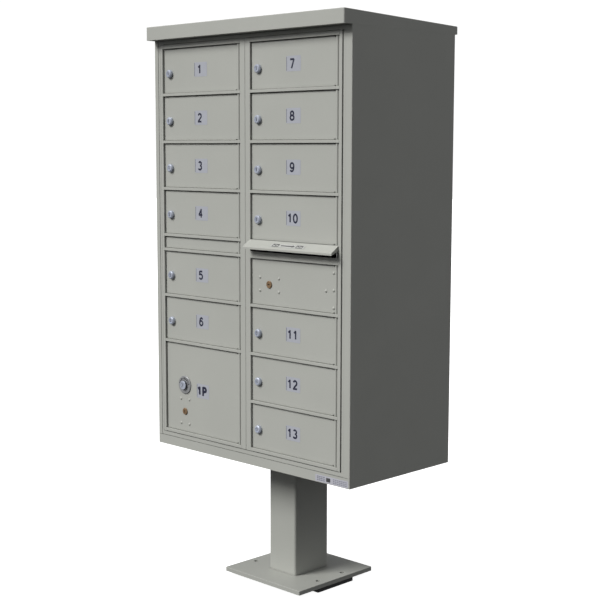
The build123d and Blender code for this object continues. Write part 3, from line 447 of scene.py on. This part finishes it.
# ================================================================ number labels
LABEL_W = 53.5 * MM
LABEL_H = 40 * MM
LABEL_T = 0.25 * MM
LABEL_CORNER = 2.5 * MM
LABEL_FROM_DOOR_EDGE = 132 * MM
CUT_EDGE_W = 1.9 * MM
CUT_EDGE_IN = 1.3 * MM          # from the label's left side to the middle of the painted edge shade
CUT_EDGE_SHORTER = 4 * MM
CUT_EDGE_CORNER = 0.5 * MM
CUT_EDGE_T = 0.05 * MM
INK_T = 0.06 * MM
INK_LAYER = 0.012 * MM          # each stroke stands this much over the last, so no two faces coincide
TENANT_PRINT = {"width": 18.5 * MM, "letter_height": 27 * MM, "advance": 21 * MM, "stroke": 5.2 * MM}
ONE_DIGIT_SHIFT = -5.0 * MM
TWO_DIGIT_SHIFT = -2.8 * MM
PARCEL_LABEL_H = 42 * MM
PARCEL_LABEL_UP = 17.5 * MM     # over the foot of the parcel lock's round plate
PARCEL_PRINT = {"width": 21.5 * MM, "letter_height": 29.5 * MM, "advance": 22.5 * MM, "stroke": 7.6 * MM}
PARCEL_SHIFT = -4.6 * MM
CLOSED = 0.01 * MM              # a line whose ends are nearer than this is a closed loop


def arc(x, y, across, up, start, end):
    """Points along part of an ellipse, angles in degrees."""
    steps = max(6, round(abs(end - start) / 12))
    turns = [math.radians(start + (end - start) * step / steps) for step in range(steps + 1)]
    return [(x + across * math.cos(turn), y + up * math.sin(turn)) for turn in turns]


# The middle lines of each character's strokes, in shares of its width and height
STROKES = {
    "0": [arc(0.5, 0.5, 0.5, 0.5, 0, 360)],
    "1": [[(0.62, 0), (0.62, 1.07)], [(0.68, 1.0), (0.14, 0.74)]],
    "2": [arc(0.5, 0.71, 0.46, 0.29, 165, -30) + [(0.03, 0.02)], [(-0.1, 0), (1.05, 0)]],
    "3": [arc(0.46, 0.75, 0.42, 0.25, 150, -90), arc(0.45, 0.26, 0.50, 0.26, 90, -155)],
    "4": [[(0.74, -0.07), (0.74, 1.07)], [(0.78, 1.0), (0.0, 0.30)], [(-0.06, 0.28), (1.1, 0.28)]],
    "5": [[(0.95, 1), (0.08, 1)], [(0.16, 1.05), (0.06, 0.48)], arc(0.46, 0.32, 0.52, 0.32, 142, -152)],
    "6": [arc(0.5, 0.31, 0.48, 0.31, 0, 360), arc(0.56, 0.42, 0.54, 0.58, 190, 45)],
    "7": [[(-0.05, 1), (1.08, 1)], [(1.0, 1.02), (0.34, -0.07)]],
    "8": [arc(0.5, 0.76, 0.41, 0.24, 0, 360), arc(0.5, 0.26, 0.5, 0.27, 0, 360)],
    "9": [arc(0.5, 0.69, 0.48, 0.31, 0, 360), arc(0.44, 0.58, 0.54, 0.58, 10, -135)],
    "P": [
        [(0.06, -0.1), (0.06, 1.1)],
        [(0, 1), (0.55, 1)] + arc(0.55, 0.74, 0.42, 0.26, 75, -90) + [(0.06, 0.48)],
    ],
}


def stroke_slab(bm, points, width, thickness, place):
    """A thin raised ribbon of even width along a line of points."""
    rows = []
    for index, point in enumerate(points):
        before = Vector(points[max(index - 1, 0)])
        after = Vector(points[min(index + 1, len(points) - 1)])
        if math.dist(points[0], points[-1]) < CLOSED:
            before = Vector(points[index - 1 if index else -2])
            after = Vector(points[index + 1 if index < len(points) - 1 else 1])
        along = (after - before).normalized()
        aside = Vector((-along.y, along.x)) * width / 2
        row = []
        for side, height in ((1, 0), (1, thickness), (-1, thickness), (-1, 0)):
            corner = Vector(point) + aside * side
            row.append(bm.verts.new(place @ Vector((corner.x, corner.y, height))))
        rows.append(row)
    for first, second in zip(rows, rows[1:]):
        for index in range(4):
            after = (index + 1) % 4
            bm.faces.new((first[index], second[index], second[after], first[after]))


def lettering_mesh(name, text, width, height, advance, stroke, place):
    """Stroked characters, centred in width and height on the place."""
    bm = bmesh.new()
    inside_w = width - stroke
    inside_h = height - stroke
    start = -(width + advance * (len(text) - 1)) / 2 + stroke / 2
    for index, character in enumerate(text):
        for layer, line in enumerate(STROKES[character]):
            points = [(start + advance * index + x * inside_w, (y - 0.5) * inside_h) for x, y in line]
            stroke_slab(bm, points, stroke, INK_T + INK_LAYER * layer, place)
    return mesh_from(bm, name)


def make_label(key, text, body, x, z, height, shift, width, letter_height, advance, stroke):
    """A film label on a door, with its printed characters and a dark strip of painted shade along its cut
    edge on the left.
    """
    place = on_door(x, z)
    bm = bmesh.new()
    slab_mesh(bm, rounded_outline(LABEL_W, height, LABEL_CORNER), LABEL_T, place)
    add_piece(f"label_{key}", mesh_from(bm, f"label_{key}"), body, FILM)
    # painted shade: a dark strip stands for the shade along the label's cut edge
    bm = bmesh.new()
    edge_place = place @ Matrix.Translation((-LABEL_W / 2 + CUT_EDGE_IN, 0, LABEL_T))
    edge = rounded_outline(CUT_EDGE_W, height - CUT_EDGE_SHORTER, CUT_EDGE_CORNER, 3)
    slab_mesh(bm, edge, CUT_EDGE_T, edge_place)
    add_piece(f"label_edge_{key}", mesh_from(bm, f"label_edge_{key}"), body, DARK_PRINT_AND_EDGE_SHADE)
    ink_place = place @ Matrix.Translation((shift, 0, LABEL_T))
    ink = lettering_mesh(f"number_{key}", text, width, letter_height, advance, stroke, ink_place)
    add_piece(f"number_{key}", ink, body, INK)


for number in TENANTS:
    door_low, door_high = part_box(f"tenant_door_{number}")
    text = str(int(number))
    make_label(
        number, text, f"tenant_door_{number}",
        door_low.x + LABEL_FROM_DOOR_EDGE + LABEL_W / 2, (door_low.z + door_high.z) / 2,
        LABEL_H, ONE_DIGIT_SHIFT if len(text) == 1 else TWO_DIGIT_SHIFT, **TENANT_PRINT,
    )

parcel_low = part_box("parcel_door")[0]
escutcheon_low, escutcheon_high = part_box("parcel_escutcheon")
make_label(
    "parcel", "1P", "parcel_door",
    parcel_low.x + LABEL_FROM_DOOR_EDGE + LABEL_W / 2, escutcheon_low.z + PARCEL_LABEL_UP,
    PARCEL_LABEL_H, PARCEL_SHIFT, **PARCEL_PRINT,
)


# ================================================================ parcel lock marks
def make_escutcheon_marks():
    """Raised ticks round the upper half of the parcel lock's plate, where its engraving would be."""
    plate_radius = 27 * MM
    ring_radius = 19.4 * MM
    over_door = 3.25 * MM
    ticks = 9
    spread = 152
    tick_w = 3.4 * MM
    long_tick = 6.4 * MM
    short_tick = 4.2 * MM
    tick_t = 0.08 * MM
    corner = 0.9 * MM
    centre_x = escutcheon_high.x - plate_radius
    centre_z = (escutcheon_low.z + escutcheon_high.z) / 2
    face = on_door(centre_x, centre_z, DOOR_FACE_Y - over_door)
    bm = bmesh.new()
    for tick in range(ticks):
        angle = math.radians(-spread / 2 + spread * tick / (ticks - 1))
        length = long_tick if tick % 2 == 0 else short_tick
        place = face @ Matrix.Rotation(-angle, 4, "Z") @ Matrix.Translation((0, ring_radius, 0))
        slab_mesh(bm, rounded_outline(tick_w, length, corner, 3), tick_t, place)
    add_piece("parcel_lock_marks", mesh_from(bm, "parcel_lock_marks"), "parcel_door", BLACK_MARKS_AND_PAINTED_SHADE)


make_escutcheon_marks()


# ================================================================ slot label and sticker
def make_hood_label():
    """A pale strip on the slot's hood, with an arrow between two generic envelopes."""
    low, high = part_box("outgoing_hood")
    run = high.y - low.y
    rise = 17.5 * MM            # of the hood's sloping face
    up_slope = 0.47             # share of the way up it
    from_left = 162 * MM
    over_hood = 0.35 * MM
    strip_w = 126 * MM
    strip_h = 14 * MM
    strip_t = 0.2 * MM
    corner = 2 * MM
    middle = Vector((low.x + from_left, low.y + run * up_slope, high.z - rise * (1 - up_slope)))
    place = Matrix.Translation(middle) @ Matrix.Rotation(math.atan2(rise, run), 4, "X")
    place = place @ Matrix.Translation((0, 0, over_hood))
    bm = bmesh.new()
    slab_mesh(bm, rounded_outline(strip_w, strip_h, corner), strip_t, place)
    add_piece("slot_label", mesh_from(bm, "slot_label"), "right_master_door", STRIP_FILM)

    line = 2.2 * MM
    envelope_out = 44 * MM
    envelope_w = 24 * MM
    edge_up = 4.6 * MM
    side_h = 9 * MM
    side_out = 11 * MM
    flap_w = 12 * MM
    flap_out = 5.2 * MM
    flap_up = 1.6 * MM
    flap_lift = 0.005 * MM      # lines that cross stand at different heights, so no faces coincide
    flap_tilt = math.radians(25)
    bm = bmesh.new()
    ink = place @ Matrix.Translation((0, 0, strip_t))
    for centre in (-envelope_out, envelope_out):
        for side in (-1, 1):
            slab_mesh(bm, bar(envelope_w, line, centre, side * edge_up), INK_T, ink)
            slab_mesh(bm, bar(line, side_h, centre + side * side_out, 0), INK_T, ink)
            flap = ink @ Matrix.Translation((centre + side * flap_out, flap_up, flap_lift * (2 + side)))
            slab_mesh(bm, bar(flap_w, line), INK_T, flap @ Matrix.Rotation(side * flap_tilt, 4, "Z"))
    shaft_w = 42 * MM
    shaft_h = 3.6 * MM
    shaft_x = -4 * MM
    head_x = 17 * MM
    head_w = 10 * MM
    head_half_h = 4.8 * MM
    slab_mesh(bm, bar(shaft_w, shaft_h, shaft_x, 0), INK_T, ink)
    head = [(head_x, -head_half_h), (head_x + head_w, 0), (head_x, head_half_h)]
    slab_mesh(bm, head, INK_T, ink)
    print_mesh = mesh_from(bm, "slot_label_print")
    add_piece("slot_label_print", print_mesh, "right_master_door", CHARCOAL)


def make_sticker():
    """A blank maker's sticker with plain bars, at the right end of the bottom flange."""
    low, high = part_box("floor_pan")
    from_right = 61.5 * MM
    up = 11 * MM
    sticker_w = 118 * MM
    sticker_h = 19 * MM
    sticker_t = 0.2 * MM
    corner = 1.5 * MM
    place = on_door(high.x - from_right, low.z + up, low.y)
    bm = bmesh.new()
    slab_mesh(bm, rounded_outline(sticker_w, sticker_h, corner), sticker_t, place)
    add_piece("sticker", mesh_from(bm, "sticker"), "root", STICKER_FILM)

    row_pitch = 4.6 * MM
    left_bars = (4, -50 * MM, 7.4 * MM, 5.4 * MM, 2.6 * MM)     # count, start, pitch, width, height
    right_bars = (7, 8 * MM, 7.2 * MM, 4.6 * MM, 2.2 * MM)
    bm = bmesh.new()
    ink = place @ Matrix.Translation((0, 0, sticker_t))
    for row in (-row_pitch, 0, row_pitch):
        for count, start, pitch, width, height in (left_bars, right_bars):
            for column in range(count):
                slab_mesh(bm, bar(width, height, start + pitch * column, row), INK_T, ink)
    add_piece("sticker_print", mesh_from(bm, "sticker_print"), "root", DARK_PRINT_AND_EDGE_SHADE)

    block_w = 15 * MM
    block_h = 11 * MM
    block_corner = 2.5 * MM
    block_x = -12 * MM
    bm = bmesh.new()
    block_place = ink @ Matrix.Translation((block_x, 0, 0))
    slab_mesh(bm, rounded_outline(block_w, block_h, block_corner), INK_T, block_place)
    add_piece("sticker_block", mesh_from(bm, "sticker_block"), "root", CHARCOAL)


make_hood_label()
make_sticker()


# ================================================================ stage, lights and camera
def stage_object(name, bm, material):
    """An object that surrounds the unit, linked to the scene but riding on no body."""
    thing = bpy.data.objects.new(name, mesh_from(bm, name))
    thing.data.materials.append(material)
    bpy.context.scene.collection.objects.link(thing)
    return thing


def make_stage():
    """A pale floor and a white surround that only the camera sees, so they throw no light back."""
    floor_material, tree, shader = new_material("stage_floor")
    tone = noise(tree, texture_space(tree), 0.6, 2.0)
    grey = mix_colour(tree, tone, (0.50, 0.50, 0.50, 1), (0.56, 0.56, 0.56, 1))
    tree.links.new(grey, shader.inputs["Base Color"])
    shader.inputs["Roughness"].default_value = 0.9
    shader.inputs["Emission Color"].default_value = (1, 1, 1, 1)
    shader.inputs["Emission Strength"].default_value = FLOOR_GLOW
    bm = bmesh.new()
    floor_z = cad_bounds[0][2] - FLOOR_BELOW - STAGE_T
    slab_mesh(bm, bar(FLOOR_SIZE, FLOOR_SIZE), STAGE_T, Matrix.Translation((0, 0, floor_z)))
    floor = stage_object("stage_floor", bm, floor_material)

    surround_material, _, shader = new_material("stage_surround")
    shader.inputs["Base Color"].default_value = (0, 0, 0, 1)
    shader.inputs["Specular IOR Level"].default_value = 0.0
    shader.inputs["Emission Color"].default_value = (1, 1, 1, 1)
    shader.inputs["Emission Strength"].default_value = SURROUND_GLOW
    bm = bmesh.new()
    bmesh.ops.create_icosphere(bm, subdivisions=3, radius=SURROUND_RADIUS)
    surround = stage_object("stage_surround", bm, surround_material)
    for thing in (floor, surround):
        thing.visible_diffuse = False
        thing.visible_glossy = False
        thing.visible_transmission = False
        thing.visible_shadow = False


def make_dark_card():
    """A black card under the floor that only soft light meets, so that undersides stay dark."""
    card_material, _, shader = new_material("stage_card")
    shader.inputs["Base Color"].default_value = (0, 0, 0, 1)
    shader.inputs["Specular IOR Level"].default_value = 0.0
    bm = bmesh.new()
    card_z = cad_bounds[0][2] - CARD_BELOW
    slab_mesh(bm, bar(CARD_SIZE, CARD_SIZE), STAGE_T, Matrix.Translation((0, 0, card_z)))
    card = stage_object("stage_card", bm, card_material)
    card.visible_camera = False
    card.visible_glossy = False
    card.visible_shadow = False


def make_lights():
    """An even sky, and one broad key light."""
    world = bpy.data.worlds.new("studio")
    world.use_nodes = True
    background = world.node_tree.nodes["Background"]
    background.inputs["Color"].default_value = SKY_COLOUR
    background.inputs["Strength"].default_value = AMBIENT
    bpy.context.scene.world = world
    key = bpy.data.lights.new("key", "SUN")
    key.energy = KEY_STRENGTH
    key.angle = KEY_SPREAD
    key.color = KEY_COLOUR
    light = bpy.data.objects.new("key", key)
    light.rotation_euler = Vector(KEY_TRAVELS).to_track_quat("-Z", "Y").to_euler()
    bpy.context.scene.collection.objects.link(light)


def make_camera():
    """The camera looks along its yaw and pitch, rolled a little about its own axis."""
    data = bpy.data.cameras.new("camera")
    data.lens = CAMERA_LENS
    data.sensor_width = SENSOR_WIDTH
    data.shift_y = CAMERA_SHIFT_Y
    camera = bpy.data.objects.new("camera", data)
    ahead = Vector((
        math.sin(CAMERA_YAW) * math.cos(CAMERA_PITCH),
        math.cos(CAMERA_YAW) * math.cos(CAMERA_PITCH),
        math.sin(CAMERA_PITCH),
    ))
    level = ahead.to_track_quat("-Z", "Y").to_matrix()
    camera.rotation_euler = (level @ Matrix.Rotation(CAMERA_ROLL, 3, "Z")).to_euler()
    camera.location = CAMERA_AT
    bpy.context.scene.collection.objects.link(camera)
    bpy.context.scene.camera = camera


make_stage()
make_dark_card()
make_lights()
make_camera()
bpy.context.scene.view_settings.view_transform = "Standard"
